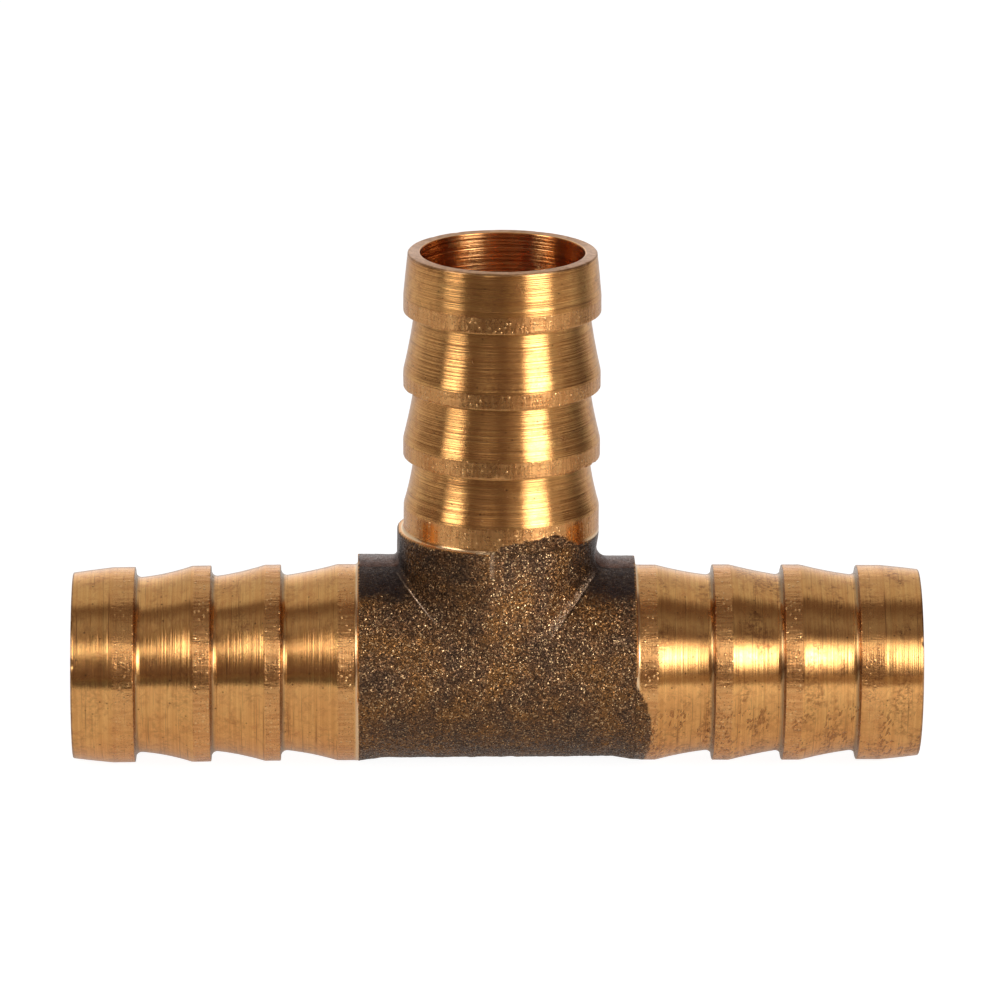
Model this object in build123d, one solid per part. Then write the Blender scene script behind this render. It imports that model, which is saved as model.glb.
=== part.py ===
"""Barbed tee connector for 19 mm (3/4 in) hose.

The tee is one piece of brass: a rough hot-formed blank whose three arms were turned into hose barbs and
whose inside was drilled. It is written here as four solids that meet face to face, the rough body and
the three turned stems, so that each region has its own name and finish. Nothing in it moves.

Millimetres. +X runs along the straight-through run, +Z along the branch. The origin is the point of the
run's axis midway between its two end faces.
"""

import os

from build123d import *

# Overall size
RUN_LENGTH = 85.0  # one end face of the run to the other
BRANCH_HEIGHT = 42.5  # run axis to the end face of the branch

# Hose barbs, the same on all three stems. Distances along a stem are counted from its end face.
CREST_R = 9.83  # the cylindrical lands that stretch the hose
VALLEY_R = 8.76  # foot of each barb's back face
TIP_R = 9.38  # outside of the end face
BACK_FACES = (6.2, 13.8, 20.9)  # back face of the first, second and third barb
TIP_LAND = 2.3  # land of the first barb
BARB_LAND = 1.3  # land of the second and third barbs
ROOT_LAND = 1.6  # land against the rough body
LAND_STEP = 0.13  # rise from the end of a cone on to its land
STEP_LENGTH = 0.25  # length of that rise
FOOT_FILLET = 0.2  # tool-nose radius at the foot of a back face
EDGE_BREAK = 0.2  # broken outer edge of an end face
MOUTH_BREAK = 0.1  # broken inner edge of an end face

# Bores
RUN_BORE_R = 8.25
BRANCH_BORE_R = 8.2  # a touch under the run's, as the two drills were

# Rough body. Its skin is not concentric with what was turned and drilled: the blank sat high on the run
# and to the left of the branch when it was machined.
BODY_HALF_LENGTH = 13.9  # middle of the run to either shoulder
NECK_TOP = 14.1  # run axis to the branch's shoulder
RUN_SKIN_R = 10.2
NECK_SKIN_R = 10.07
SKIN_RISE = 0.6  # the run's skin is centred this far above the run's axis
BRANCH_SHIFT = 0.45  # the branch is turned and drilled this far to the right of the neck's centre
CORNER_FILLET = 1.4  # where the neck flows into the run
SHOULDER_BREAK = 0.25  # broken edges of the three shoulders


def stem(height, root, bore_r):
    """A barbed tube along +Z, from its root, where the rough body ends, up to its end face."""
    outline = [
        (bore_r, root),
        (CREST_R, root),
        (CREST_R, root + ROOT_LAND),
        (CREST_R - LAND_STEP, root + ROOT_LAND + STEP_LENGTH),
    ]
    feet = []
    for index, back_face in reversed(list(enumerate(BACK_FACES))):
        back = height - back_face
        land = TIP_LAND if index == 0 else BARB_LAND
        feet.append((VALLEY_R, back, 0))
        outline += [(VALLEY_R, back), (CREST_R, back), (CREST_R, back + land)]
        if index > 0:
            outline.append((CREST_R - LAND_STEP, back + land + STEP_LENGTH))
    outline += [
        (TIP_R, height - EDGE_BREAK),
        (TIP_R - EDGE_BREAK, height),
        (bore_r + MOUTH_BREAK, height),
        (bore_r, height - MOUTH_BREAK),
    ]
    section = make_face(Polyline(*outline, close=True))
    corners = [section.vertices().sort_by_distance(foot)[0] for foot in feet]
    section = fillet(corners, FOOT_FILLET)
    return revolve(Plane.XZ * section, Axis.Z)


def rough_body():
    """The hot-formed tee between the three shoulders, with the bores drilled through it."""
    run = Pos(0, 0, SKIN_RISE) * Rot(0, 90, 0) * Cylinder(RUN_SKIN_R, 2 * BODY_HALF_LENGTH)
    run = chamfer(run.edges().filter_by(GeomType.CIRCLE), SHOULDER_BREAK)
    neck = Cylinder(NECK_SKIN_R, NECK_TOP, align=(Align.CENTER, Align.CENTER, Align.MIN))
    neck = chamfer(neck.faces().sort_by(Axis.Z)[-1].edges(), SHOULDER_BREAK)
    blank = run + neck
    corner = [edge for edge in blank.edges() if edge.geom_type not in (GeomType.CIRCLE, GeomType.LINE)]
    blank = fillet(corner, CORNER_FILLET)
    run_bore = Rot(0, 90, 0) * Cylinder(RUN_BORE_R, RUN_LENGTH)
    branch_bore = Pos(BRANCH_SHIFT, 0, 0) * Cylinder(
        BRANCH_BORE_R, BRANCH_HEIGHT, align=(Align.CENTER, Align.CENTER, Align.MIN)
    )
    return blank - run_bore - branch_bore


run_stem = stem(RUN_LENGTH / 2, BODY_HALF_LENGTH, RUN_BORE_R)
nodes = {
    "rough_tee_body": rough_body(),
    "right_barb_stem": Rot(0, 90, 0) * run_stem,
    "left_barb_stem": Rot(0, -90, 0) * run_stem,
    "branch_barb_stem": Pos(BRANCH_SHIFT, 0, 0) * stem(BRANCH_HEIGHT, NECK_TOP, BRANCH_BORE_R),
}

os.makedirs("parts", exist_ok=True)
for name, shape in nodes.items():
    shape.label = name
    export_step(shape, f"parts/{name}.step")
    print(name, "volume", round(shape.volume, 1), "mm3")
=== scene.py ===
"""Looks of the barbed tee connector: a rough hot-formed brass middle with three turned hose barbs.

The rough middle is meshed from a distance field, and each stem is turned as a lathe outline. Both carry the
marks of the real thing: tool chatter, nicks, the blank's skin left where the tool ran out of metal, and the
grain, parting strips and creases of the blank. Some of their colour is painted light: painted shade at the
stems' back faces and feet, on the skin beside the parting strips, along their edges and at the right crease,
painted reflections on the stems, and painted highlights on burrs, shoulder fillets, the right crease's flank
and in the skin's tone. Lengths inside the pieces are in millimetres.
"""

import itertools
import math
from collections import namedtuple

import bpy
import numpy as np
from mathutils import Matrix, Vector


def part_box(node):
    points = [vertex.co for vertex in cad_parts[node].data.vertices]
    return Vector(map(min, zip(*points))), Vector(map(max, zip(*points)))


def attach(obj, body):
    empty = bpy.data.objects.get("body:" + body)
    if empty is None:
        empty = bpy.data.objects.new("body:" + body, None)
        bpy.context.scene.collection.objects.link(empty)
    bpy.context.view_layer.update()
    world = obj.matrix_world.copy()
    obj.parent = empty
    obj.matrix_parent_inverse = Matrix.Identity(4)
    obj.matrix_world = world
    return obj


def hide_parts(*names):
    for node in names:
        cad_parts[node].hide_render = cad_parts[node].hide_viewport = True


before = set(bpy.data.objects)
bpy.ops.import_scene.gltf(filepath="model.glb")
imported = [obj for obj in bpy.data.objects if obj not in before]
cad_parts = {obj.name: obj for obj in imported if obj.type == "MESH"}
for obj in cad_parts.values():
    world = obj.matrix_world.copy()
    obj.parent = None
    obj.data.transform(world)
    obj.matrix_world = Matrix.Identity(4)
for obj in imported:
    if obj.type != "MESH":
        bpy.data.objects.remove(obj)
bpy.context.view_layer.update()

MM = 0.001

# Driving sizes of the tee, in millimetres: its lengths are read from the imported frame, and its bores and the
# branch's axis are those of the CAD
body_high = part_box("rough_tee_body")[1] / MM
END_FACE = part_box("right_barb_stem")[1].x / MM  # run's end faces, from the middle
BRANCH_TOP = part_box("branch_barb_stem")[1].z / MM
SHOULDER = body_high.x  # run's shoulders, from the middle
NECK_TOP = body_high.z  # the branch's shoulder
RUN_BORE_R = 8.25
BRANCH_BORE_R = 8.2
BRANCH_X = 0.45  # the branch is turned and drilled about this x

# The blank's rough skin
RUN_SKIN_R = 10.16  # at mid-length
RUN_SKIN_TAPER = -0.0061  # change of that radius for each millimetre to the right
RUN_SKIN_RISE = 0.68  # the run's skin is centred this far above the run's axis
NECK_SKIN_R = 9.97
NECK_SKIN_X = 0.0  # the neck's skin is centred about this x
CORNER_R = {"left": 0.7, "right": 1.5}  # rounding where the neck flows into the run
STRIP_HALF = 2.3  # half width of the parting strips along the tops of the run's shoulders
STRIP_RISE = 0.02  # how far those strips stand out
VOXEL = 0.2  # the body's mesh size
SCRAPE_X = -0.65  # a scrape down the front of the neck, above a low ridge
DIP_LENGTH = 2.5  # how far a dip of the skin at a shoulder reaches into the body
RUNOUT_SLOPE = 0.07  # how fast the skin falls below the tool's path

# Turning
RING_STEP = 0.12  # a stem's rings are no further apart than this
SEGMENTS = 256  # points round each ring
EDGE_R = 0.1  # rounding of a back face's outer corner
MOUTH_INNER_R = 0.12  # rounding of the end face's inner edge
MOUTH_OUTER_R = 0.16  # rounding of the end face's outer edge
BACK_LEAN = 0.06  # how far a back face leans along the stem
STEP_LENGTH = 0.25  # length of the rise from a cone to its land
ROOT_BOW = 0.45  # how hollow the last cone is
SHOULDER_FILLET = 0.35  # tool's rounding between a root land and the shoulder
DEEP_BORE = 7.0  # beyond this depth the bore's rings are spaced widely
DEEP_STEP = 1.0  # widest spacing of those rings
DROOP_LENGTH = 24.0  # the left stem droops over this length, to its end face
DROOP_SLOPE = 0.0142  # fall for each millimetre of that length

# Height or depth of the turned surface's marks
RING_MARKS = 0.005  # rings left by the tool
FINE_MARKS = 0.002  # broken rings between them
LAND_CHATTER = 0.0045
LAND_WAVES = 0.004
LAND_PITS = 0.1
EDGE_NICKS = 0.3
EDGE_WAVES = 0.012

# The skin's grain: height, size and seed of each layer
GRAIN = ((0.035, 1.1, 11), (0.03, 0.5, 12), (0.03, 0.27, 13))

# One barb. back is its back face, counted from the end face, land the length of its crest land, crest the
# land's radius, step the rise from the cone to the land, and bow how hollow the cone is.
Barb = namedtuple("Barb", "back land crest step bow")

# One stem. Radii: bore, tip (outside of the end face), valley (feet of the back faces), root_crest, foot_r
# (rounding of the feet) and tip_fillet (rounding where the first cone meets its land). root_land is a length,
# and root_step the rise to that land. runout says where the blank's skin was left on the root land. Shares:
# marks, dents, stain and tip_chatter.
Stem = namedtuple(
    "Stem",
    "name bore tip valley barbs root_crest root_land root_step runout"
    " marks dents foot_r stain tip_chatter tip_fillet",
)

# Where the blank's skin was left on a root land: knots of the angle round the stem, counted from the front,
# and of the skin's reach from the shoulder. A negative reach means that the tool cut clean.
CLEAN = ((-180, -20), (180, -20))
RIGHT_RUNOUT = (
    (-180, -0.6), (-165, 0.4), (-145, 1.0), (-120, 1.3), (-90, 1.1), (-65, 1.05), (-45, 1.35), (-33, 1.55),
    (-21, 1.53), (-12, 1.27), (-4, 0.73), (0, 0.3), (3, -0.2), (8, -3.5), (20, -16), (150, -16), (172, -3),
    (180, -0.6),
)
BRANCH_RUNOUT = (
    (-180, -8), (-150, -14), (-40, -14), (-9, -0.9), (-8, 0.35), (-6.6, 0.35), (-6, -0.3), (-5, 0.15),
    (-2, 0.85), (8, 1.1), (16, 1.3), (31, 1.5), (37, 1.35), (42, 0.7), (51, 0), (56, -0.4), (130, -0.4),
    (180, -8),
)

# --------------------------------------------------------------------------------------------------
# Noise and mesh helpers
# --------------------------------------------------------------------------------------------------


def value_noise(points, cell, seed):
    """Smooth noise between -1 and 1, with features of size cell, one value for each point."""
    period = 64
    lattice = np.random.default_rng(seed).uniform(-1, 1, (period, period, period))
    scaled = points / cell
    low = np.floor(scaled).astype(int)
    part = scaled - low
    part = part * part * (3 - 2 * part)
    total = np.zeros(len(points))
    for corner in itertools.product((0, 1), repeat=3):
        index = (low + corner) % period
        weight = np.prod(np.where(corner, part, 1 - part), axis=1)
        total += weight * lattice[index[:, 0], index[:, 1], index[:, 2]]
    return total


def smooth_step(value, start, end):
    """0 before start, 1 after end, and a smooth rise between them."""
    share = np.clip((value - start) / (end - start), 0, 1)
    return share * share * (3 - 2 * share)


def knots(table, angle):
    """The value of a listed outline at each angle, in degrees."""
    return np.interp(angle, [k[0] for k in table], [k[1] for k in table])


def new_piece(name, points, faces, attributes, material, node):
    """A smooth-shaded mesh object of quads that stands for a CAD node."""
    mesh = bpy.data.meshes.new(name)
    mesh.vertices.add(len(points))
    mesh.vertices.foreach_set("co", (points * MM).astype(np.float32).ravel())
    mesh.loops.add(faces.size)
    mesh.loops.foreach_set("vertex_index", faces.ravel().astype(np.int32))
    mesh.polygons.add(len(faces))
    mesh.polygons.foreach_set("loop_start", np.arange(0, faces.size, 4, dtype=np.int32))
    mesh.update(calc_edges=True)
    mesh.polygons.foreach_set("use_smooth", np.ones(len(faces), bool))
    for key, values in attributes.items():
        if values.ndim == 1:
            mesh.attributes.new(key, "FLOAT", "POINT").data.foreach_set("value", values.astype(np.float32))
        else:
            data = mesh.attributes.new(key, "FLOAT_VECTOR", "POINT").data
            data.foreach_set("vector", values.astype(np.float32).ravel())
    mesh.validate()
    piece = bpy.data.objects.new(name, mesh)
    bpy.context.scene.collection.objects.link(piece)
    mesh.materials.append(material)
    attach(piece, "root")
    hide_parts(node)
    return piece


# --------------------------------------------------------------------------------------------------
# The blank's skin, shared by the body and the root lands
# --------------------------------------------------------------------------------------------------


def ring_radius(offset, radius, angle):
    """Distance from an axis to a circle whose centre lies offset away, towards angle 90 degrees."""
    turn = np.radians(angle)
    return offset * np.sin(turn) + np.sqrt(radius**2 - (offset * np.cos(turn)) ** 2)


def cut_limit(plain, land, reach, from_shoulder):
    """Radius of the blank beside a shoulder: plain, or the slope that falls below the tool's path."""
    plain = np.maximum(plain, land + 0.02)
    return np.minimum(plain, land + RUNOUT_SLOPE * (from_shoulder - reach))


def run_skin(x, angle):
    """Radius of the run's skin about the run's axis."""
    plain = ring_radius(RUN_SKIN_RISE, RUN_SKIN_R + RUN_SKIN_TAPER * x, angle)
    beside = np.abs(plain * np.cos(np.radians(angle)))
    strip = smooth_step(STRIP_HALF - beside, -0.1, 0.2) * (angle > 0)
    plain = plain + STRIP_RISE * strip
    right = plain - cut_limit(plain, RIGHT.root_crest, knots(RIGHT.runout, angle), 0)
    left = plain - cut_limit(plain, LEFT.root_crest, knots(LEFT.runout, angle), 0)
    fade_right = smooth_step(x, SHOULDER - DIP_LENGTH, SHOULDER)
    fade_left = smooth_step(-x, SHOULDER - DIP_LENGTH, SHOULDER)
    return plain - right * fade_right - left * fade_left


def neck_skin(z, angle):
    """Radius of the neck's skin about the branch's axis."""
    plain = ring_radius(NECK_SKIN_X - BRANCH_X, NECK_SKIN_R, angle)
    dip = plain - cut_limit(plain, BRANCH.root_crest, knots(BRANCH.runout, angle), 0)
    return plain - dip * smooth_step(z, NECK_TOP - DIP_LENGTH, NECK_TOP)


def left_end_skin(angle):
    """Radius of the plain skin at the run's left shoulder."""
    return ring_radius(RUN_SKIN_RISE, RUN_SKIN_R - RUN_SKIN_TAPER * SHOULDER, angle)


def right_end_skin(angle):
    """Radius of the plain skin at the run's right shoulder."""
    return ring_radius(RUN_SKIN_RISE, RUN_SKIN_R + RUN_SKIN_TAPER * SHOULDER, angle)


def neck_end_skin(angle):
    """Radius of the plain skin at the branch's shoulder."""
    return ring_radius(NECK_SKIN_X - BRANCH_X, NECK_SKIN_R, angle)


def skin_grain(points):
    """Height of the grain on the blank's skin."""
    return sum(height * value_noise(points, size, seed) for height, size, seed in GRAIN)


# --------------------------------------------------------------------------------------------------
# Turned stems
# --------------------------------------------------------------------------------------------------

LEFT = Stem(
    name="left",
    bore=RUN_BORE_R,
    tip=9.33,
    valley=8.76,
    barbs=(
        Barb(6.3, 2.2, 9.82, 0, -0.15),
        Barb(13.9, 1.75, 9.865, 0.02, 0.7),
        Barb(20.9, 1.6, 9.865, 0.06, 0.5),
    ),
    root_crest=9.87,
    root_land=2.0,
    root_step=0.05,
    runout=CLEAN,
    marks=1.0,
    dents=0.0,
    foot_r=0.6,
    stain=0.5,
    tip_chatter=0.6,
    tip_fillet=5.5,
)
RIGHT = Stem(
    name="right",
    bore=RUN_BORE_R,
    tip=9.37,
    valley=8.78,
    barbs=(
        Barb(6.3, 2.4, 9.79, 0, -0.15),
        Barb(13.8, 1.75, 9.84, 0.03, 0.35),
        Barb(20.8, 1.75, 9.84, 0.06, 0.25),
    ),
    root_crest=9.82,
    root_land=2.1,
    root_step=0.05,
    runout=RIGHT_RUNOUT,
    marks=0.6,
    dents=1.0,
    foot_r=0.6,
    stain=1.0,
    tip_chatter=0.4,
    tip_fillet=5.5,
)
BRANCH = Stem(
    name="branch",
    bore=BRANCH_BORE_R,
    tip=9.42,
    valley=8.76,
    barbs=(
        Barb(6.0, 1.7, 9.85, 0, -0.1),
        Barb(13.7, 1.55, 9.84, 0.03, 0.3),
        Barb(20.8, 1.7, 9.83, 0.04, 0.25),
    ),
    root_crest=9.77,
    root_land=2.5,
    root_step=0.05,
    runout=BRANCH_RUNOUT,
    marks=0.7,
    dents=0.0,
    foot_r=0.3,
    stain=0.4,
    tip_chatter=1.0,
    tip_fillet=0,
)


def rounded(corners):
    """Points of a path of (u, r, rounding radius) corners."""
    path = []
    for index, (u, r, radius) in enumerate(corners):
        here = np.array([u, r], float)
        if radius == 0:
            path.append(here)
            continue
        before = np.array(corners[index - 1][:2]) - here
        after = np.array(corners[index + 1][:2]) - here
        before /= np.linalg.norm(before)
        after /= np.linalg.norm(after)
        half = math.acos(np.clip(before @ after, -1, 1)) / 2
        centre = here + (before + after) / np.linalg.norm(before + after) * radius / math.sin(half)
        start = here + before * radius / math.tan(half) - centre
        end = here + after * radius / math.tan(half) - centre
        for share in np.linspace(0, 1, 6):
            spoke = start * (1 - share) + end * share
            path.append(centre + spoke / np.linalg.norm(spoke) * radius)
    return path


def spaced(path, step):
    """The same path with no two neighbours further apart than step."""
    points = [path[0]]
    for a, b in zip(path, path[1:]):
        count = max(1, math.ceil(np.linalg.norm(b - a) / step))
        points += [a + (b - a) * k / count for k in range(1, count + 1)]
    return points


def cone(u0, r0, u1, r1, bow):
    """Inner points of a barb's cone, hollow where bow is above 0."""
    shares = np.linspace(0, 1, 14)[1:-1]
    return [(u0 + (u1 - u0) * t, r0 + (r1 - r0) * (t - bow * t * (1 - t)), 0) for t in shares]


def stem_outline(stem, length):
    """The stem's section, from the bore's root round the mouth to the shoulder, as (u, r) pairs.

    u is counted from the end face and r from the stem's axis.
    """
    corners = [
        (length, stem.bore, 0),
        (DEEP_BORE, stem.bore, 0),
        (0.0, stem.bore, MOUTH_INNER_R),
        (0.0, stem.tip, MOUTH_OUTER_R),
    ]
    start_u, start_r = 0.0, stem.tip
    for barb in stem.barbs:
        land_start = barb.back - barb.land
        cone_end = land_start - (STEP_LENGTH if barb.step else 0)
        corners += cone(start_u, start_r, cone_end, barb.crest - barb.step, barb.bow)
        if barb.step:
            corners += [(cone_end, barb.crest - barb.step, 0), (land_start, barb.crest, 0)]
        else:
            corners.append((land_start, barb.crest, stem.tip_fillet))
        corners += [
            (barb.back - BACK_LEAN / 2, barb.crest, EDGE_R),
            (barb.back + BACK_LEAN / 2, stem.valley, stem.foot_r),
        ]
        start_u, start_r = barb.back + BACK_LEAN / 2, stem.valley
    land_start = length - stem.root_land
    cone_end = land_start - STEP_LENGTH
    corners += cone(start_u, start_r, cone_end, stem.root_crest - stem.root_step, ROOT_BOW)
    corners += [
        (cone_end, stem.root_crest - stem.root_step, 0),
        (land_start, stem.root_crest, 0),
        (length + 0.01, stem.root_crest, SHOULDER_FILLET),
        (length + 0.01, stem.root_crest + SHOULDER_FILLET + 0.01, 0),
        (length + 0.2, stem.root_crest - 0.5, 0),
        (length + 0.2, stem.bore + 0.4, 0),
    ]
    path = rounded(corners)
    return np.array(spaced(path[:2], DEEP_STEP) + spaced(path[1:], RING_STEP)[1:])


def stem_wear(stem, u, r, angle, around, length):
    """Small departures of the turned surface from its outline, as a change of radius."""
    outside = smooth_step(r, stem.bore + 0.25, stem.bore + 0.5)
    seed = {"left": 100, "right": 200, "branch": 300}[stem.name]
    rings = np.column_stack([u, u * 0, u * 0])
    stretched = np.column_stack([u, around[:, 1] * 0.12, around[:, 2] * 0.12])
    marks = RING_MARKS * value_noise(rings, 0.45, seed) + FINE_MARKS * value_noise(stretched, 0.6, seed + 1)
    marks = stem.marks * marks
    land = land_share(stem, u, length)
    chatter = LAND_CHATTER * value_noise(around * [0.3, 1, 1], 0.34, seed + 2)
    chatter = chatter + LAND_WAVES * value_noise(around, 0.9, seed + 3)
    pits = np.clip(value_noise(around, 0.42, seed + 4) - 0.6, 0, 1) * -LAND_PITS
    nicks = np.clip(value_noise(around, 0.9, seed + 5) - 0.45, 0, 1) * -EDGE_NICKS
    nicks = nicks + EDGE_WAVES * value_noise(around, 0.45, seed + 6)
    edge = edge_share(stem, u)
    return outside * (marks + land * (chatter + pits) + edge * nicks)


def land_share(stem, u, length):
    """1 on the lands, 0 on the cones."""
    share = np.zeros(len(u))
    for barb in stem.barbs:
        start = smooth_step(u, barb.back - barb.land - 0.1, barb.back - barb.land + 0.15)
        depth = stem.tip_chatter if barb is stem.barbs[0] else 1
        share = np.maximum(share, start * depth * (u < barb.back + 0.1))
    start = smooth_step(u, length - stem.root_land - 0.1, length - stem.root_land + 0.15)
    return np.maximum(share, start * (u < length - SHOULDER_FILLET))


def edge_share(stem, u):
    """1 on the outer edges of the crests and of the end face."""
    share = np.exp(-((u / 0.25) ** 2))
    for barb in stem.barbs:
        share = np.maximum(share, np.exp(-(((u - barb.back) / 0.22) ** 2)))
    return share


def orange_reflection_share(stem, u, length, turn):
    """1 on the two patches beside the front of the branch's root land where an orange reflection is painted.
    """
    if stem.name != "branch":
        return np.zeros(len(u))
    beside = np.abs(np.abs(np.sin(turn)) - 0.74)
    patch = smooth_step(0.11 - beside, 0, 0.06)
    return patch * smooth_step(u, length - 2.3, length - 1.9) * (np.cos(turn) > 0)


def back_edge_reflection_share(stem, u, r):
    """1 on the outer edges of the back faces, where a dark reflection is painted."""
    share = np.zeros(len(u))
    for barb in stem.barbs:
        near = np.exp(-(((u - barb.back - 0.02) / 0.09) ** 2)) * (r > barb.crest - 0.2)
        share = np.maximum(share, near)
    return share


def foot_shade_share(stem, u, r):
    """1 on the back faces and at their feet, where shade is painted."""
    share = np.zeros(len(u))
    for barb in stem.barbs:
        near = (u > barb.back - 0.06) & (u < barb.back + 0.5) & (r < barb.crest - 0.02)
        share = np.maximum(share, near * smooth_step(r, stem.valley + 0.03, stem.valley + 0.25))
    return share


def turned_stem(stem, node, length, place, plain_skin, material, droop=0.0):
    """Turns a stem from its outline. place maps u, the radius and the angle to x, y and z."""
    outline = stem_outline(stem, length)
    turns = np.linspace(0, 360, SEGMENTS, endpoint=False)
    rings = len(outline)
    u = np.repeat(outline[:, 0], SEGMENTS)
    r = np.repeat(outline[:, 1], SEGMENTS)
    angle = (np.tile(turns, rings) + 180) % 360 - 180
    turn = np.radians(angle)
    around = np.column_stack([u, r * np.sin(turn), -r * np.cos(turn)])
    outer = r > stem.bore + 0.3

    ragged = 0.16 * value_noise(around, 0.45, 21)
    reach = knots(stem.runout, angle) + ragged + 0.1 * value_noise(around, 0.2, 22)
    from_shoulder = length - u
    blank = cut_limit(plain_skin(angle), stem.root_crest, reach, np.maximum(from_shoulder, 0))
    near_root = outer & (from_shoulder < 4)
    below = near_root & (r > blank)
    worn = r + stem_wear(stem, u, r, angle, around, length)
    skin = np.where(near_root, smooth_step(reach - from_shoulder, -0.02, 0.1), 0)
    worn = np.where(below, blank, worn)
    points = place(u, worn, turn)
    grain = np.where(skin > 0, skin_grain(points) * skin, 0)
    points = points + grain[:, None] * outward(place, turn)
    points[:, 2] -= np.maximum(0, DROOP_LENGTH - u) * droop

    index = np.arange(rings * SEGMENTS).reshape(rings, SEGMENTS)
    after = np.roll(index, -1, axis=0)
    faces = np.stack(
        [index, np.roll(index, -1, axis=1), np.roll(after, -1, axis=1), after], axis=-1
    ).reshape(-1, 4)
    first = place(u[:1], worn[:1], turn[:1])
    ahead = place(u[:1] + 1, worn[:1], turn[:1]) - first
    round_it = place(u[:1], worn[:1], turn[:1] + 0.01) - first
    if np.dot(ahead[0], np.cross(outward(place, turn[:1])[0], round_it[0])) < 0:
        faces = faces[:, ::-1]
    attributes = {
        "lathe": np.column_stack([u, r * np.sin(turn), r * np.cos(turn)]),
        "skin": skin,
        "bore": 1 - smooth_step(r, stem.bore + 0.02, stem.bore + 0.1),
        "land": land_share(stem, u, length) * outer,
        "marks": np.full(len(u), stem.marks),
        "stain": np.full(len(u), stem.stain),
        "foot": foot_shade_share(stem, u, r) * outer,
        "back_edge_reflection": back_edge_reflection_share(stem, u, r) * outer,
        "ring": smooth_step(u, length - SHOULDER_FILLET, length - 0.1) * outer,
        "rim": smooth_step(0.2 - u, 0, 0.1) * (r > stem.bore + 0.1),
        "orange_reflection": orange_reflection_share(stem, u, length, turn) * outer,
        "dents": stem.dents * smooth_step(-angle, 8, 20) * smooth_step(angle, -100, -80) * outer,
    }
    return new_piece(stem.name + "_turned_stem", points, faces, attributes, material, node)


def outward(place, turn):
    """Unit vectors away from a stem's axis."""
    zero = np.zeros(len(turn))
    return place(zero, zero + 1, turn) - place(zero, zero, turn)


def place_right(u, r, turn):
    """Points of the run's right stem."""
    return np.column_stack([END_FACE - u, -r * np.cos(turn), r * np.sin(turn)])


def place_left(u, r, turn):
    """Points of the run's left stem."""
    return np.column_stack([u - END_FACE, -r * np.cos(turn), r * np.sin(turn)])


def place_branch(u, r, turn):
    """Points of the branch's stem."""
    return np.column_stack([BRANCH_X + r * np.sin(turn), -r * np.cos(turn), BRANCH_TOP - u])


# --------------------------------------------------------------------------------------------------
# Rough body
# --------------------------------------------------------------------------------------------------


def body_field(points):
    """Distance-like field of the rough body: below 0 inside the metal."""
    x, y, z = points.T
    run_angle = np.degrees(np.arctan2(z, -y))
    run = np.hypot(y, z) - run_skin(x, run_angle)
    neck_angle = np.degrees(np.arctan2(x - BRANCH_X, -y))
    neck = np.hypot(x - BRANCH_X, y) - neck_skin(z, neck_angle)
    neck = np.where(z > 0, neck, np.hypot(np.maximum(neck, 0), z) + 1)
    facing = y * y / (np.hypot(y, z) * np.hypot(x, y) + 1e-6)
    corner = np.where(x > 0, CORNER_R["right"], CORNER_R["left"]) * np.clip(1 - facing, 0, 1) ** 3 + 1e-3
    blend = np.maximum(corner, np.minimum(run, neck)) - np.hypot(
        np.maximum(corner - run, 0), np.maximum(corner - neck, 0)
    )
    field = np.maximum(blend, np.abs(x) - SHOULDER)
    field = np.maximum(field, z - NECK_TOP)
    field = np.maximum(field, RUN_BORE_R - np.hypot(y, z))
    branch_bore = np.where(z > 0, BRANCH_BORE_R - np.hypot(x - BRANCH_X, y), -9)
    return np.maximum(field, branch_bore)


def neighbours(axis):
    """Slices that pair each point of a grid with the next one along an axis."""
    near = [slice(None)] * 3
    far = [slice(None)] * 3
    near[axis] = slice(None, -1)
    far[axis] = slice(1, None)
    return tuple(near), tuple(far)


def surface_net(field, low, high, step):
    """Quads on the zero surface of a field, one point for each cell that the surface crosses."""
    axes = [np.arange(a, b + step, step) for a, b in zip(low, high)]
    grid = np.stack(np.meshgrid(*axes, indexing="ij"), axis=-1)
    values = field(grid.reshape(-1, 3)).reshape(grid.shape[:3])
    inside = values < 0
    cells = values.shape
    total = np.zeros(tuple(n - 1 for n in cells) + (3,))
    count = np.zeros(total.shape[:3])
    for axis in range(3):
        near, far = neighbours(axis)
        crossed = inside[near] != inside[far]
        share = np.where(crossed, values[near] / np.where(crossed, values[near] - values[far], 1), 0)
        point = grid[near] * (1 - share[..., None]) + grid[far] * share[..., None]
        others = [a for a in range(3) if a != axis]
        for shift in itertools.product((0, 1), repeat=2):
            take = [slice(None)] * 3
            for other, move in zip(others, shift):
                take[other] = slice(move, cells[other] - 1 + move)
            take = tuple(take)
            total += np.where(crossed[take][..., None], point[take], 0)
            count += crossed[take]
    used = count > 0
    number = np.full(count.shape, -1)
    number[used] = np.arange(used.sum())
    points = total[used] / count[used][:, None]
    faces = []
    for axis in range(3):
        near, far = neighbours(axis)
        b, c = (axis + 1) % 3, (axis + 2) % 3
        where = np.argwhere(inside[near] != inside[far])
        where = where[(where[:, b] > 0) & (where[:, c] > 0)]
        step_b = np.eye(3, dtype=int)[b]
        step_c = np.eye(3, dtype=int)[c]
        ring = [where, where - step_b, where - step_b - step_c, where - step_c]
        quad = np.column_stack([number[tuple(corner.T)] for corner in ring])
        leaving = inside[near][tuple(where.T)]
        faces.append(np.where(leaving[:, None], quad, quad[:, ::-1]))
    return points, np.concatenate(faces)


def field_slope(field, points):
    """Gradient of a field at each point."""
    small = 0.02
    slope = np.empty_like(points)
    for axis in range(3):
        move = np.zeros(3)
        move[axis] = small
        slope[:, axis] = (field(points + move) - field(points - move)) / (2 * small)
    return slope


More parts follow.
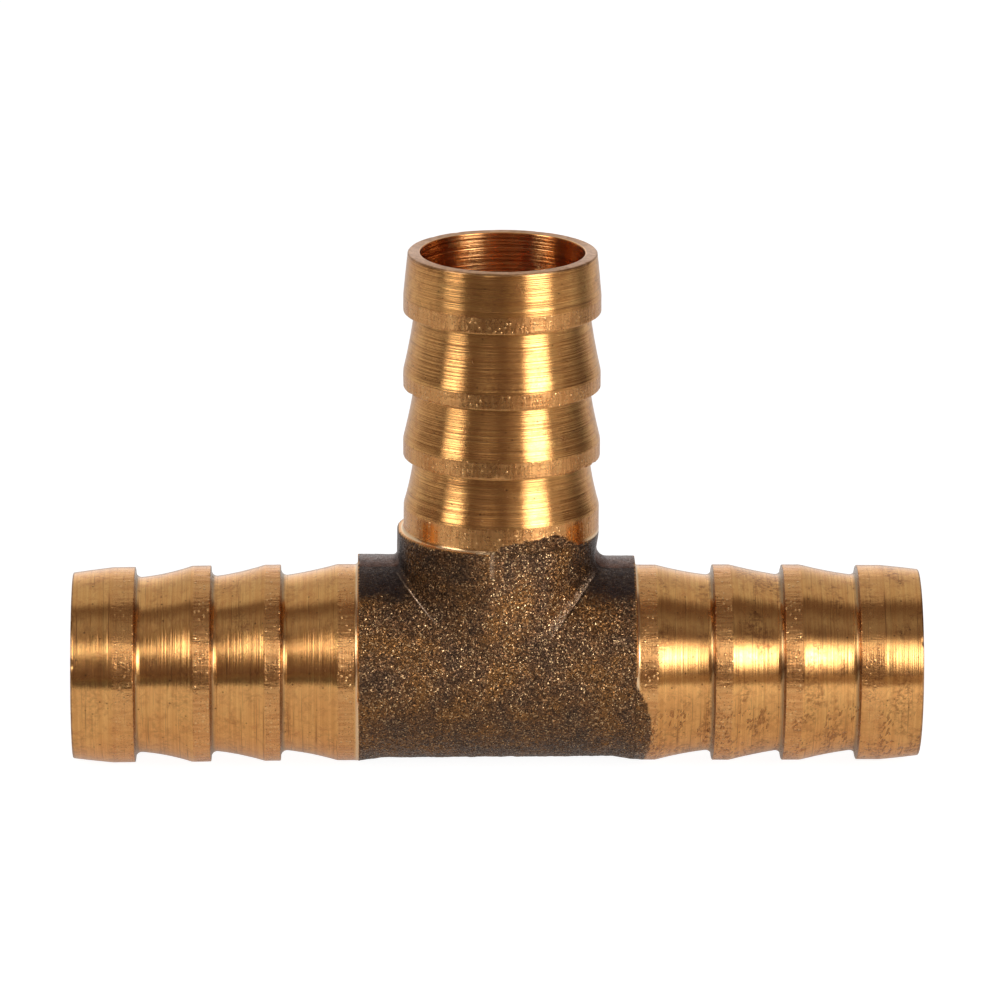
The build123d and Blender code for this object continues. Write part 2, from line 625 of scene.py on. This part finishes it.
def rough_body(material):
    """The blank's middle, with its grain, parting strips, ridge and scrape."""
    low = (-SHOULDER - 0.31, -11.3, -10.5)
    high = (SHOULDER + 0.5, 11.3, NECK_TOP + 0.5)
    points, faces = surface_net(body_field, low, high, VOXEL)
    slope = field_slope(body_field, points)
    steep = np.maximum(np.sum(slope * slope, axis=1), 0.5)
    points = points - slope * (body_field(points) / steep)[:, None] * 0.8
    normal = slope / np.linalg.norm(slope, axis=1)[:, None]
    x, y, z = points.T

    # Where the surface is skin, and where it was cut
    at_right = x > SHOULDER - 0.06
    at_top = z > NECK_TOP - 0.06
    flat_end = at_right | (x < -SHOULDER + 0.06) | at_top
    in_run_bore = np.hypot(y, z) < RUN_BORE_R + 0.25
    in_bore = in_run_bore | ((z > 0) & (np.hypot(x - BRANCH_X, y) < BRANCH_BORE_R + 0.25))
    run_reach = knots(RIGHT.runout, np.degrees(np.arctan2(z, -y)))
    neck_reach = knots(BRANCH.runout, np.degrees(np.arctan2(x - BRANCH_X, -y)))
    meets_skin = (at_right & (run_reach > -0.15)) | (at_top & (neck_reach > -0.15))
    outer = np.minimum(np.hypot(y, z), np.hypot(x, y)) > 9.3
    skin = (~flat_end | (meets_skin & outer)) & ~in_bore
    front = skin & (y < 0)
    on_strips = (z > 9) & (np.abs(x) > 9.5)

    # The parting strips on the tops of the shoulders, and the smoother skin round them, painted in shade
    ragged = value_noise(points, 0.9, 31)
    flash = smooth_step(STRIP_HALF + 0.1 - np.abs(y) + 0.25 * ragged, -0.1, 0.15) * (skin & on_strips)
    shade = smooth_step(6.3 - np.abs(y) + 0.5 * ragged, -0.6, 0.6) * (skin & (z > 6))
    shade = shade * smooth_step(np.abs(x), 8.6, 9.9)
    # A painted shadow along the strips' edges
    groove_shade = np.exp(-(((np.abs(y) - STRIP_HALF - 0.1) / 0.1) ** 2)) * on_strips

    # The scrape and the ridge on the front of the neck
    scrape = smooth_step(0.2 - np.abs(x - SCRAPE_X - 0.08 * ragged), 0, 0.12) * front
    scrape = scrape * smooth_step(z, 11.2, 12.2)
    ridge_x = SCRAPE_X - 0.25 + np.minimum(0, z - 9) * 0.2
    ridge_line = np.exp(-(((x - ridge_x) / 0.14) ** 2)) * smooth_step(z, 5.5, 7.5) * front
    ridge = smooth_step(x - ridge_x, -0.15, 0.15) * smooth_step(z, 3, 8) * front
    ridge = ridge * smooth_step(NECK_TOP - z, 0, 1.5) * smooth_step(9 - x, 0, 6)

    # Painted light and shade in the skin's tone: a painted highlight beside the right crease, a lighter
    # line along the ridge, and painted shade left of the ridge and on the neck's corners
    across = (x - z + 0.38 - 0.0285 * (9.94 - z) ** 2 + 0.6) / 0.9
    glow = np.exp(-(across**2)) * smooth_step(z, 4.0, 6.0) * smooth_step(10.0 - z, 0, 1.5) * front
    left_shade = smooth_step(-x, -1, 5) * smooth_step(z, 7, 10)
    corner_shade = smooth_step(np.abs(x), 7.4, 9.4) * smooth_step(z, 8, 10)
    tone = 0.5 + 0.55 * ridge - 0.55 * left_shade + 0.65 * glow + 0.3 * ridge_line - 0.45 * corner_shade

    smooth_share = np.maximum(flash, np.maximum(shade * 0.75, scrape))
    height = skin_grain(points) * (1 - 0.8 * smooth_share) + 0.07 * ridge
    points = points + normal * (height * skin)[:, None]
    attributes = {
        "skin": skin * 1.0,
        "bore": in_bore * 1.0,
        "flash": flash,
        "shade": shade,
        "bare": 0.3 * scrape,
        "groove_shade": groove_shade,
        "tone": tone,
    }
    name = "rough_tee_middle"
    return new_piece(name, points, faces, attributes, material, "rough_tee_body")


# --------------------------------------------------------------------------------------------------
# Materials
# --------------------------------------------------------------------------------------------------


def rgb(red, green, blue):
    """An opaque linear colour."""
    return (red, green, blue, 1.0)


# Turned brass
BRASS = rgb(0.88, 0.485, 0.165)
DEEP_BRASS = rgb(0.84, 0.43, 0.145)
TOOL_LINE = rgb(0.68, 0.30, 0.09)
SCRATCH = rgb(0.30, 0.13, 0.05)
TARNISH = rgb(0.60, 0.26, 0.09)
STAIN = rgb(0.36, 0.15, 0.055)
SPECK = rgb(0.12, 0.05, 0.02)
LAND_LIGHT = rgb(0.82, 0.43, 0.165)
LAND_DARK = rgb(0.64, 0.29, 0.105)
PIT = rgb(0.22, 0.09, 0.035)
BURR_GLINT = rgb(0.98, 0.66, 0.30)
BORE_LIGHT = rgb(0.86, 0.43, 0.17)
BORE_DARK = rgb(0.70, 0.31, 0.11)
DENT = rgb(0.42, 0.17, 0.06)
FOOT_SHADE = rgb(0.36, 0.24, 0.13)
BACK_EDGE_REFLECTION = rgb(0.38, 0.15, 0.06)
SHOULDER_RING_HIGHLIGHT = rgb(0.98, 0.72, 0.44)
RIM_LIGHT = rgb(0.50, 0.27, 0.14)
RIM_DARK = rgb(0.34, 0.17, 0.08)
ORANGE_REFLECTION = rgb(0.85, 0.30, 0.05)

# Oxidised skin
SKIN_DARK = rgb(0.225, 0.12, 0.062)
SKIN_BROWN = rgb(0.31, 0.15, 0.063)
SKIN_WARM = rgb(0.43, 0.195, 0.06)
GRAIN_BLACK = rgb(0.03, 0.019, 0.014)
GRAIN_WORN = rgb(0.95, 0.63, 0.32)
GRAIN_GAP = rgb(0.018, 0.013, 0.011)
SHADE_DARK = rgb(0.045, 0.035, 0.040)
SHADE_LIGHT = rgb(0.075, 0.050, 0.043)
FLASH_DARK = rgb(0.11, 0.042, 0.024)
FLASH_LIGHT = rgb(0.21, 0.085, 0.045)
BARE_BRASS_AND_HIGHLIGHT = rgb(1.0, 0.72, 0.50)
GROOVE_SHADE = rgb(0.025, 0.018, 0.015)
CUT_SHOULDER = rgb(0.84, 0.43, 0.15)
CUT_BORE = rgb(0.78, 0.37, 0.14)


class Tree:
    """A material's nodes, with short calls for the ones used here."""

    def __init__(self, owner):
        owner.use_nodes = True
        self.tree = owner.node_tree
        self.tree.nodes.clear()

    def node(self, kind, inputs=None, **settings):
        """Adds a node and fills its inputs, by name or number, with values or with other nodes' sockets."""
        node = self.tree.nodes.new("ShaderNode" + kind)
        for key, value in settings.items():
            setattr(node, key, value)
        for key, value in (inputs or {}).items():
            if isinstance(value, bpy.types.NodeSocket):
                self.tree.links.new(value, node.inputs[key])
            else:
                node.inputs[key].default_value = value
        return node

    def math(self, operation, *values):
        return self.node("Math", dict(enumerate(values)), operation=operation).outputs[0]

    def times(self, first, *others):
        """The product of two or more numbers."""
        for other in others:
            first = self.math("MULTIPLY", first, other)
        return first

    def add(self, a, b):
        return self.math("ADD", a, b)

    def less(self, a, b):
        """a minus b."""
        return self.math("SUBTRACT", a, b)

    def attribute(self, name, output="Fac"):
        return self.node("Attribute", attribute_name=name).outputs[output]

    def vector_math(self, operation, a, b, output=0):
        return self.node("VectorMath", {0: a, 1: b}, operation=operation).outputs[output]

    def scaled(self, vector, factors):
        return self.vector_math("MULTIPLY", vector, factors)

    def parts(self, vector):
        """The three numbers of a vector or colour."""
        return self.node("SeparateXYZ", {0: vector}).outputs

    def noise(self, vector, scale, detail=2.0, roughness=0.5, distortion=0.0):
        inputs = {"Vector": vector, "Scale": scale, "Detail": detail, "Roughness": roughness}
        inputs["Distortion"] = distortion
        return self.node("TexNoise", inputs).outputs[0]

    def cells(self, vector, scale, **settings):
        inputs = {"Vector": vector, "Scale": scale, "Randomness": 1.0}
        return self.node("TexVoronoi", inputs, **settings).outputs

    def dots(self, vector, scale, radius, soft_radius, rarest, commonest):
        """1 on small round dots in some of the cells."""
        cell = self.cells(vector, scale)
        chance = self.parts(cell["Color"])[0]
        return self.times(
            self.span(cell["Distance"], radius, soft_radius, 1, 0), self.span(chance, rarest, commonest)
        )

    def span(self, value, low, high, to_low=0.0, to_high=1.0):
        """Moves a value from the range low..high to the range to_low..to_high, clamped."""
        inputs = {"Value": value, "From Min": low, "From Max": high, "To Min": to_low, "To Max": to_high}
        return self.node("MapRange", inputs).outputs[0]

    def mix(self, share, a, b):
        """Mixes two colours."""
        return self.node("Mix", {0: share, 6: a, 7: b}, data_type="RGBA").outputs[2]

    def blend(self, share, a, b):
        """Mixes two numbers."""
        return self.node("Mix", {0: share, 2: a, 3: b}, data_type="FLOAT").outputs[0]

    def bump(self, height):
        """A normal from a height in millimetres."""
        return self.node("Bump", {"Height": height, "Distance": MM, "Strength": 1.0}).outputs[0]

    def surface(self, shader):
        self.tree.links.new(shader.outputs[0], self.node("OutputMaterial").inputs[0])


def skin_look(t, place, glitter):
    """Colour, roughness and height of the oxidised skin, from positions in millimetres."""
    grains_per_mm = 7.2
    cell = t.cells(place, grains_per_mm)
    walls = t.cells(place, grains_per_mm, feature="DISTANCE_TO_EDGE")
    chance = t.parts(cell["Color"])
    local = t.vector_math("SUBTRACT", place, cell["Position"])
    lean = t.vector_math("SUBTRACT", cell["Color"], (0.5, 0.5, 0.5))
    facet = t.vector_math("DOT_PRODUCT", local, lean, "Value")
    lot = t.math("FRACT", t.times(t.add(chance[0], chance[1]), 5.3))
    tone = t.noise(place, 0.33, 4, 0.6)
    uneven = t.noise(place, 1.9, 4, 0.7)
    colour = t.mix(t.span(tone, 0.38, 0.48), SKIN_DARK, SKIN_BROWN)
    colour = t.mix(t.span(tone, 0.50, 0.62), colour, SKIN_WARM)
    colour = t.mix(t.span(lot, 0, 0.75, 0.85, 0.0), colour, GRAIN_BLACK)
    colour = t.mix(t.times(t.span(lot, 0.86, 0.97, 0.0, 0.95), glitter), colour, GRAIN_WORN)
    colour = t.mix(t.span(walls["Distance"], 0.02, 0.12, 0.7, 0.0), colour, GRAIN_GAP)
    rough = t.span(lot, 0.2, 0.9, 0.42, 0.24)
    height = t.add(t.times(facet, 0.95), t.times(uneven, 0.14))
    return colour, rough, height


def slanting_dents(t, lathe):
    """1 in the short slanting dents, which lie in patches."""
    along, down, toward = t.parts(lathe)
    skewed = t.add(along, t.times(down, 0.3))
    skewed = t.node("CombineXYZ", {0: skewed, 1: t.times(down, 0.4), 2: t.times(toward, 0.4)}).outputs[0]
    rows = t.span(t.noise(t.scaled(lathe, (0.5, 0.2, 0.2)), 1.0, 2), 0.47, 0.56)
    return t.times(t.span(t.noise(skewed, 4.0, 1), 0.555, 0.63), t.times(rows, t.attribute("dents")))


def turned_brass(arm, axis):
    """Bright turned brass: tool marks round the stem, tarnish, specks, and skin where the tool ran out.

    lathe is the distance along the stem and the two distances across it, in millimetres.
    """
    material = bpy.data.materials.new("turned_brass_" + arm)
    t = Tree(material)
    lathe = t.attribute("lathe", "Vector")
    land = t.attribute("land")
    bore = t.attribute("bore")
    skin = t.attribute("skin")
    rim = t.attribute("rim")
    lines = t.noise(t.scaled(lathe, (1, 0.008, 0.008)), 3.0, 3, 0.7)
    scratches = t.span(t.noise(t.scaled(lathe, (1, 0.02, 0.02)), 5.5, 2, 0.6), 0.60, 0.70)
    streaks = t.noise(t.scaled(lathe, (0.12, 1, 1)), 2.8, 2, 0.6)
    patches = t.noise(t.scaled(lathe, (0.5, 0.35, 0.35)), 0.9, 4, 0.6)
    blotches = t.noise(lathe, 1.1, 5, 0.7, 0.6)
    rubbed = t.noise(lathe, 4.6, 2, 0.6)
    specks = t.dots(lathe, 1.3, 0.07, 0.16, 0.6, 0.7)
    burrs = t.times(t.dots(lathe, 2.4, 0.16, 0.34, 0.55, 0.65), land)
    dents = slanting_dents(t, lathe)

    # The cones: tool lines, scratches, tarnish, stains and specks
    colour = t.mix(t.span(patches, 0.35, 0.65), BRASS, DEEP_BRASS)
    colour = t.mix(t.span(lines, 0.42, 0.6, 0, 0.5), colour, TOOL_LINE)
    colour = t.mix(t.times(scratches, 0.6), colour, SCRATCH)
    colour = t.mix(t.span(blotches, 0.50, 0.64, 0, 0.5), colour, TARNISH)
    fields = t.span(t.noise(t.scaled(lathe, (0.5, 0.3, 0.3)), 0.8, 2, 0.5), 0.49, 0.6)
    mottled = t.times(fields, t.span(t.noise(lathe, 2.3, 4, 0.75), 0.44, 0.6))
    colour = t.mix(t.times(mottled, t.times(t.attribute("stain"), 0.8)), colour, STAIN)
    colour = t.mix(t.times(specks, 0.75), colour, SPECK)

    # The lands, streaked across by chatter, with pits and burrs, the burrs with a painted glint
    dull = t.mix(t.span(streaks, 0.4, 0.62), LAND_LIGHT, LAND_DARK)
    pitted = t.mix(t.span(rubbed, 0.62, 0.68), dull, PIT)
    colour = t.mix(t.times(land, 0.7), colour, pitted)
    # A painted glint on the burrs
    colour = t.mix(t.times(burrs, 0.55), colour, BURR_GLINT)

    # The bore, the dents, the mouth, painted shade and a painted dark reflection at the back faces, a painted
    # highlight at the ends of the root lands, and a painted orange reflection beside the branch's root land
    colour = t.mix(bore, colour, t.mix(t.span(lines, 0.4, 0.6), BORE_LIGHT, BORE_DARK))
    colour = t.mix(t.times(dents, 0.8), colour, DENT)
    # Painted shade on the back faces and at their feet
    colour = t.mix(t.times(t.attribute("foot"), 0.85), colour, FOOT_SHADE)
    # A painted dark reflection along the back faces' outer edges
    back_edge_reflection = t.times(t.attribute("back_edge_reflection"), t.span(rubbed, 0.4, 0.6, 0.35, 0.9))
    colour = t.mix(back_edge_reflection, colour, BACK_EDGE_REFLECTION)
    # A painted highlight on the shoulder fillet at the ends of the root lands
    colour = t.mix(t.times(t.attribute("ring"), 0.8), colour, SHOULDER_RING_HIGHLIGHT)
    worn_rim = t.times(rim, t.span(rubbed, 0.4, 0.6, 0.7, 1.0))
    colour = t.mix(worn_rim, colour, t.mix(t.span(blotches, 0.4, 0.6), RIM_LIGHT, RIM_DARK))
    # A painted orange reflection beside the front of the branch's root land
    orange_reflection = t.times(t.attribute("orange_reflection"), t.span(streaks, 0.4, 0.6, 0.4, 0.95))
    colour = t.mix(orange_reflection, colour, ORANGE_REFLECTION)

    rough = t.span(blotches, 0.35, 0.7, 0.19, 0.28)
    rough = t.add(rough, t.times(land, 0.05))
    rough = t.add(rough, t.times(rim, 0.15))

    # Heights in millimetres
    rubs = t.add(t.times(streaks, 0.038), t.times(rubbed, 0.018))
    chatter = t.times(t.less(rubs, 0.028), land)
    marks = t.times(lines, t.times(t.blend(bore, t.attribute("marks"), 1.0), 0.065))
    scuffs = t.times(blotches, 0.006)
    bumps = t.less(t.times(burrs, 0.03), t.times(dents, 0.09))
    height = t.add(t.add(marks, scuffs), t.add(chatter, bumps))

    skin_colour, skin_rough, skin_height = skin_look(t, lathe, 0.8)
    inputs = {
        "Base Color": t.mix(skin, colour, skin_colour),
        "Metallic": t.span(skin, 0, 1, 1.0, 0.9),
        "Roughness": t.blend(skin, rough, skin_rough),
        "Normal": t.bump(t.blend(skin, height, skin_height)),
        "Anisotropic": 0.85,
        "Anisotropic Rotation": 0.25,
        "Tangent": t.node("Tangent", direction_type="RADIAL", axis=axis).outputs[0],
    }
    t.surface(t.node("BsdfPrincipled", inputs))
    return material


def creases(t, place):
    """Bright and dark shares of the two forging creases where the neck meets the run, on the front.

    On the right crease the bright share is a painted highlight on its flank and the dark share painted shade.
    """
    x, y, z = t.parts(place)
    front = t.span(y, -4.0, -3.0, 1.0, 0.0)
    wander = t.times(t.less(t.noise(place, 1.6, 2), 0.5), 0.16)

    # The left crease is a thin bright line
    left = t.add(t.add(t.add(x, z), -0.35), wander)
    line = t.span(t.math("ABSOLUTE", left), 0.04, 0.12, 1.0, 0.0)
    middle = t.times(t.span(z, 6.7, 8.0, 0.15, 1.0), t.span(z, 8.9, 9.6, 1.0, 0.15))
    middle = t.times(middle, t.span(z, 6.4, 6.7))
    left_bright = t.times(t.times(line, middle), front)

    # The right crease bends, with a painted highlight on a patchy flank and painted shade in a gutter
    bend = t.math("POWER", t.less(9.94, z), 2.0)
    right = t.less(t.add(t.less(x, z), 0.38), t.times(bend, 0.0285))
    right = t.add(right, wander)
    flank = t.math("POWER", t.span(right, -1.7, -0.08), 1.8)
    near = t.times(flank, t.span(right, -0.06, 0.0, 1.0, 0.0))
    reach = t.times(t.span(z, 4.8, 6.4), t.span(z, 8.6, 10.2, 1.0, 0.5))
    patchy = t.span(t.noise(place, 4.6, 2, 0.6), 0.44, 0.6, 0.05, 1.0)
    right_flank_highlight = t.times(t.times(near, reach), t.times(patchy, front))
    gutter_shade = t.times(t.span(right, -0.02, 0.05), t.span(right, 0.08, 0.35, 1.0, 0.0))
    gutter_shade = t.times(gutter_shade, t.times(reach, front))
    return t.math("MAXIMUM", left_bright, t.times(right_flank_highlight, 0.8)), gutter_shade


def rough_skin():
    """The blank's dark oxidised skin, with cut brass on the shoulders and in the bores."""
    material = bpy.data.materials.new("rough_brass_skin")
    t = Tree(material)
    place = t.scaled(t.node("TexCoord").outputs["Object"], (1 / MM, 1 / MM, 1 / MM))
    skin = t.attribute("skin")
    flash = t.attribute("flash")
    shade = t.attribute("shade")
    tone = t.attribute("tone")
    # More bright worn grains, as painted glints, where the painted tone is lighter and higher up
    glitter = t.times(t.span(tone, 0.2, 0.6, 0.4, 1.0), t.span(t.parts(place)[2], -6, 2, 0.6, 1.0))
    colour, rough, height = skin_look(t, place, glitter)
    cloud = t.span(t.noise(place, 1.4, 4, 0.6), 0.35, 0.65)
    # Painted shade on the smoother skin beside the parting strips
    colour = t.mix(t.times(shade, 0.8), colour, t.mix(cloud, SHADE_DARK, SHADE_LIGHT))
    colour = t.mix(t.times(flash, 0.85), colour, t.mix(cloud, FLASH_DARK, FLASH_LIGHT))
    # The tone's painted light and shade brighten and darken the skin
    toned = t.node("HueSaturation", {"Color": colour, "Value": t.span(tone, 0, 1.4, 0.64, 1.42)})
    crease, gutter_shade = creases(t, place)
    # The scrape's bare brass, the left crease's bright line and the right crease's painted highlight
    bare = t.math("MAXIMUM", t.attribute("bare"), crease)
    colour = t.mix(bare, toned.outputs[0], BARE_BRASS_AND_HIGHLIGHT)
    # Painted shade along the strips' edges and in the right crease's gutter
    groove_shade = t.math("MAXIMUM", t.attribute("groove_shade"), gutter_shade)
    colour = t.mix(t.times(groove_shade, 0.85), colour, GROOVE_SHADE)
    calm = t.math("MAXIMUM", t.math("MAXIMUM", flash, bare), t.times(shade, 0.85))
    height = t.times(height, t.span(calm, 0, 1, 1, 0.12))
    tool_marks = t.times(t.noise(place, 5.0, 3), 0.008)
    inputs = {
        "Base Color": t.mix(skin, t.mix(t.attribute("bore"), CUT_SHOULDER, CUT_BORE), colour),
        "Metallic": t.span(skin, 0, 1, 1.0, 0.9),
        "Roughness": t.blend(skin, 0.3, rough),
        "Normal": t.bump(t.blend(skin, tool_marks, height)),
    }
    t.surface(t.node("BsdfPrincipled", inputs))
    return material


# --------------------------------------------------------------------------------------------------
# Studio
# --------------------------------------------------------------------------------------------------


SHEET_SIZE = 3000.0  # half of the floor's and the table's width
SHEET_Z = -10.12  # the lowest points of the stems touch the sheet
TABLE_Z = -10.0  # the dark table lies a little above the sheet
TABLE_Y = -58.0  # far edge of the dark table
CARD_CENTRE_Z = 5.0  # the height at which the cards aim


def stage_mesh(name, corners, material):
    """A flat four-cornered mesh of the studio, with corners in millimetres."""
    mesh = bpy.data.meshes.new(name)
    mesh.from_pydata([Vector(c) * MM for c in corners], [], [(0, 1, 2, 3)])
    mesh.materials.append(material)
    thing = bpy.data.objects.new(name, mesh)
    bpy.context.scene.collection.objects.link(thing)
    return thing


def card(name, azimuth, elevation, width, height, strength, distance=600.0, soft=0.3, opacity=1.0):
    """A softbox, or a dark flag, seen from the tee under these angles, in degrees, with soft edges."""
    a, e = math.radians(azimuth), math.radians(elevation)
    away = Vector((math.sin(a) * math.cos(e), -math.cos(a) * math.cos(e), math.sin(e)))
    right = Vector((math.cos(a), math.sin(a), 0)) * distance * math.tan(math.radians(width / 2))
    up = away.cross(Vector((math.cos(a), math.sin(a), 0))) * distance * math.tan(math.radians(height / 2))
    centre = Vector((0, 0, CARD_CENTRE_Z)) + away * distance
    material = bpy.data.materials.new(name)
    t = Tree(material)
    uv_map = t.parts(t.node("TexCoord").outputs["UV"])
    fades = []
    for output, edge in ((0, soft), (1, 0.45)):
        centred = t.math("ABSOLUTE", t.less(uv_map[output], 0.5))
        fades.append(t.span(centred, 0.5 - edge, 0.5, 1.0, 0.0))
    share = t.times(t.times(fades[0], t.times(fades[1], fades[1])), opacity)
    clear = t.node("BsdfTransparent")
    glow = t.node("Emission", {"Color": rgb(1, 1, 1), "Strength": strength})
    t.surface(t.node("MixShader", {0: share, 1: clear.outputs[0], 2: glow.outputs[0]}))
    corners = [centre - right - up, centre + right - up, centre + right + up, centre - right + up]
    panel = stage_mesh(name, corners, material)
    uv = panel.data.uv_layers.new(name="UVMap")
    for loop, value in zip(uv.data, ((0, 0), (1, 0), (1, 1), (0, 1))):
        loop.uv = value
    panel.visible_camera = False
    panel.visible_shadow = False


def floor_sheet():
    """A white sheet under the tee, which also glows a little on to it."""
    material = bpy.data.materials.new("studio_floor")
    t = Tree(material)
    seen = t.node("LightPath").outputs["Is Camera Ray"]
    diffuse = t.node("BsdfDiffuse", {"Color": t.mix(seen, rgb(0.57, 0.57, 0.57), rgb(0.25, 0.25, 0.25))})
    across, back = t.parts(t.node("TexCoord").outputs["Object"])[:2]
    # Painted light in the glow that reflections see: a pool of light in front and to the right, and a painted
    # shadow under the tee
    lit = t.times(t.span(back, -0.03, -0.015, 0.2, 0.0), t.span(across, 0.0, 0.03))
    under = t.span(t.math("ABSOLUTE", back), 0.004, 0.02, 0.27, 0.33)
    strength = t.blend(seen, t.add(lit, under), 0.94)
    glow = t.node("Emission", {"Color": rgb(1, 1, 1), "Strength": strength})
    t.surface(t.node("AddShader", {0: diffuse.outputs[0], 1: glow.outputs[0]}))
    size = SHEET_SIZE
    corners = [(-size, -size, 0), (size, -size, 0), (size, size, 0), (-size, size, 0)]
    sheet = stage_mesh("studio_floor", corners, material)
    sheet.location.z = SHEET_Z * MM
    return sheet


def dark_table():
    """The dark table in front of the tee, which only reflections show, with painted light that makes it
    lighter to the right and far off.
    """
    material = bpy.data.materials.new("studio_table")
    t = Tree(material)
    across, back = t.parts(t.node("TexCoord").outputs["Object"])[:2]
    # Painted light: lighter to the right and far from the tee
    table_tone_and_light = t.mix(t.span(across, 0.0, 0.03), rgb(0.12, 0.11, 0.10), rgb(0.42, 0.33, 0.26))
    table_tone_and_light = t.mix(t.span(back, -0.45, -0.15, 1.0, 0.0), table_tone_and_light, rgb(0.36, 0.28, 0.21))
    t.surface(t.node("BsdfDiffuse", {"Color": table_tone_and_light}))
    size = SHEET_SIZE
    corners = [(-size, -size, 0), (size, -size, 0), (size, TABLE_Y, 0), (-size, TABLE_Y, 0)]
    table = stage_mesh("studio_table", corners, material)
    table.location.z = TABLE_Z * MM
    table.visible_camera = False
    table.visible_diffuse = False
    table.visible_shadow = False
    return table


def studio_world():
    """White backdrop for the camera; for light, a bright hall behind and above and a dark one in front."""
    world = bpy.data.worlds.new("studio")
    bpy.context.scene.world = world
    t = Tree(world)
    x, y, z = t.parts(t.node("TexCoord").outputs["Generated"])
    aside = t.add(t.times(t.math("ABSOLUTE", x), -0.5), t.times(x, -0.12))
    behind = t.add(t.add(y, t.times(z, 0.2)), aside)
    hall = t.span(behind, 0.13, 0.32)
    horizon = t.span(behind, 0.78, 0.98, 0.56, 1.1)
    above = t.less(z, t.times(x, 0.5))
    front = t.mix(t.span(above, 0.35, 0.95), rgb(0.125, 0.085, 0.075), rgb(0.165, 0.13, 0.115))
    colour = t.mix(hall, front, rgb(1, 1, 1))
    light = t.node("Background", {"Color": colour, "Strength": t.blend(hall, 1.0, horizon)})
    seen = t.node("Background", {"Color": rgb(1, 1, 1), "Strength": 1.0})
    camera = t.node("LightPath").outputs["Is Camera Ray"]
    mixed = t.node("MixShader", {0: camera, 1: light.outputs[0], 2: seen.outputs[0]})
    t.tree.links.new(mixed.outputs[0], t.node("OutputWorld").inputs[0])


# The camera's target and distance, its lens and its sensor are in millimetres
CAMERA_TARGET = Vector((0.375, 0, 16.886))
CAMERA_DISTANCE = 769.9
CAMERA_ELEVATION = math.radians(15.608)
CAMERA_AZIMUTH = math.radians(-1.107)
CAMERA_ROLL = math.radians(0.315)
CAMERA_LENS = 276.64
CAMERA_SENSOR = 36.0


def place_camera():
    """A long lens, a little to the left of the tee and above it."""
    away = Vector((
        math.sin(CAMERA_AZIMUTH) * math.cos(CAMERA_ELEVATION),
        -math.cos(CAMERA_AZIMUTH) * math.cos(CAMERA_ELEVATION),
        math.sin(CAMERA_ELEVATION),
    ))
    level_right = (-away).cross(Vector((0, 0, 1))).normalized()
    level_up = level_right.cross(-away)
    right = level_right * math.cos(CAMERA_ROLL) + level_up * math.sin(CAMERA_ROLL)
    up = level_up * math.cos(CAMERA_ROLL) - level_right * math.sin(CAMERA_ROLL)
    data = bpy.data.cameras.new("main_camera")
    data.sensor_width = CAMERA_SENSOR
    data.lens = CAMERA_LENS
    data.clip_start = 0.05
    data.clip_end = 20.0
    camera = bpy.data.objects.new("main_camera", data)
    bpy.context.scene.collection.objects.link(camera)
    axes = Matrix((right, up, away)).transposed()
    place = Matrix.Translation((CAMERA_TARGET + away * CAMERA_DISTANCE) * MM)
    camera.matrix_world = place @ axes.to_4x4()
    bpy.context.scene.camera = camera


run_brass = turned_brass("run", "X")
branch_brass = turned_brass("branch", "Z")
run_length = END_FACE - SHOULDER
branch_length = BRANCH_TOP - NECK_TOP
turned_stem(LEFT, "left_barb_stem", run_length, place_left, left_end_skin, run_brass, DROOP_SLOPE)
turned_stem(RIGHT, "right_barb_stem", run_length, place_right, right_end_skin, run_brass)
turned_stem(BRANCH, "branch_barb_stem", branch_length, place_branch, neck_end_skin, branch_brass)
rough_body(rough_skin())

studio_world()
sheet = floor_sheet()
dark = dark_table()
card("softbox_right", 43, 18, 37, 42, 11.0)
card("softbox_left", -62, 23, 30, 42, 6.8)
card("fill_right", 68, 12, 24, 34, 0.6)
card("lamp_front_right", 20, 33, 32, 32, 2.0, soft=0.45)
card("lamp_above_right", 45, 57, 60, 36, 0.35, soft=0.45)
card("lamp_front_left", -19, 33, 32, 28, 1.8, soft=0.45)
card("lamp_above_left", -45, 59, 60, 34, 0.5, soft=0.45)
card("black_flag_right", 105, 0, 50, 70, 0.0, distance=150.0, soft=0.45, opacity=0.75)
place_camera()
bpy.context.scene.view_settings.view_transform = "Standard"
